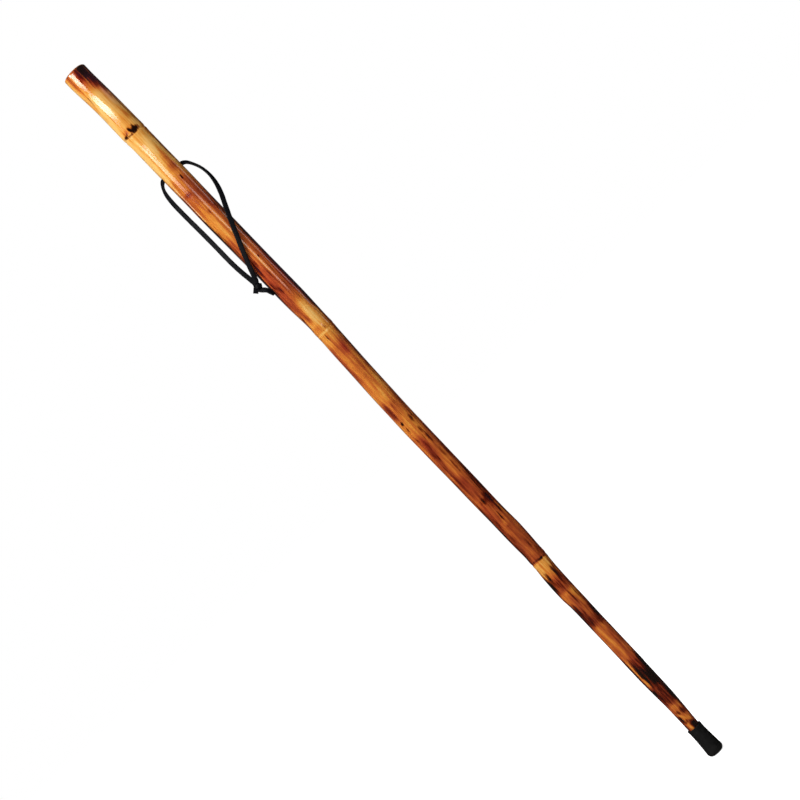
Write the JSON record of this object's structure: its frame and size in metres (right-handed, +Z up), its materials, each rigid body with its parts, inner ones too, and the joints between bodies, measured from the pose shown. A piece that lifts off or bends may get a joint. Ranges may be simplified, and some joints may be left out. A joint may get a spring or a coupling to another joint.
{
  "type": "walking stick",
  "caption": "Straight natural-wood walking stick with a compass let into the domed grip end, a lace wrist loop through a cross hole, and a flared rubber tip.",
  "frame": {"origin": "centre of the rubber tip's flat underside, where the stick meets the ground", "axes": "+Z up the wood to the compass end; +X to the side where the wrist loop bulges out; -Y to the side where the loop crosses the wood"},
  "size_m": [0.0698, 0.0393, 1.27],
  "materials": {
    "lacquered_wood": "flame-burnt and gloss lacquered, honey to red-brown to black",
    "tip_rubber": "matt black rubber",
    "washer_steel": "zinc-plated",
    "compass_case": "satin black moulding",
    "compass_card": "matt black with white and green marks",
    "compass_jewel": "dull brass",
    "compass_steel": "bare steel",
    "compass_lens": "clear",
    "compass_glue": "set glue",
    "lace_leather": "black flat lace, satin"
  },
  "bodies": {
    "root": {"shaft": "lacquered_wood", "ferrule": "tip_rubber", "ferrule_washer": "washer_steel", "compass_case": "compass_case", "compass_adhesive": "compass_glue", "compass_pivot": "compass_steel", "compass_lens": "compass_lens"},
    "card": {"compass_card": "compass_card", "compass_magnet": "compass_steel", "compass_jewel": "compass_jewel"},
    "wrist_loop": {"strap": "lace_leather", "strap_knot": "lace_leather"}
  },
  "joints": [
    {"name": "card_spin", "type": "hinge", "parent": "root", "child": "card", "pos_m": [-0.0048, 0, 1.2631], "axis": [0, 0, 1], "continuous": true},
    {"name": "strap_swing", "type": "hinge", "parent": "root", "child": "wrist_loop", "pos_m": [0, 0, 1.0783], "axis": [-1, 0, 0], "range_deg": [0, 140]}
  ]
}
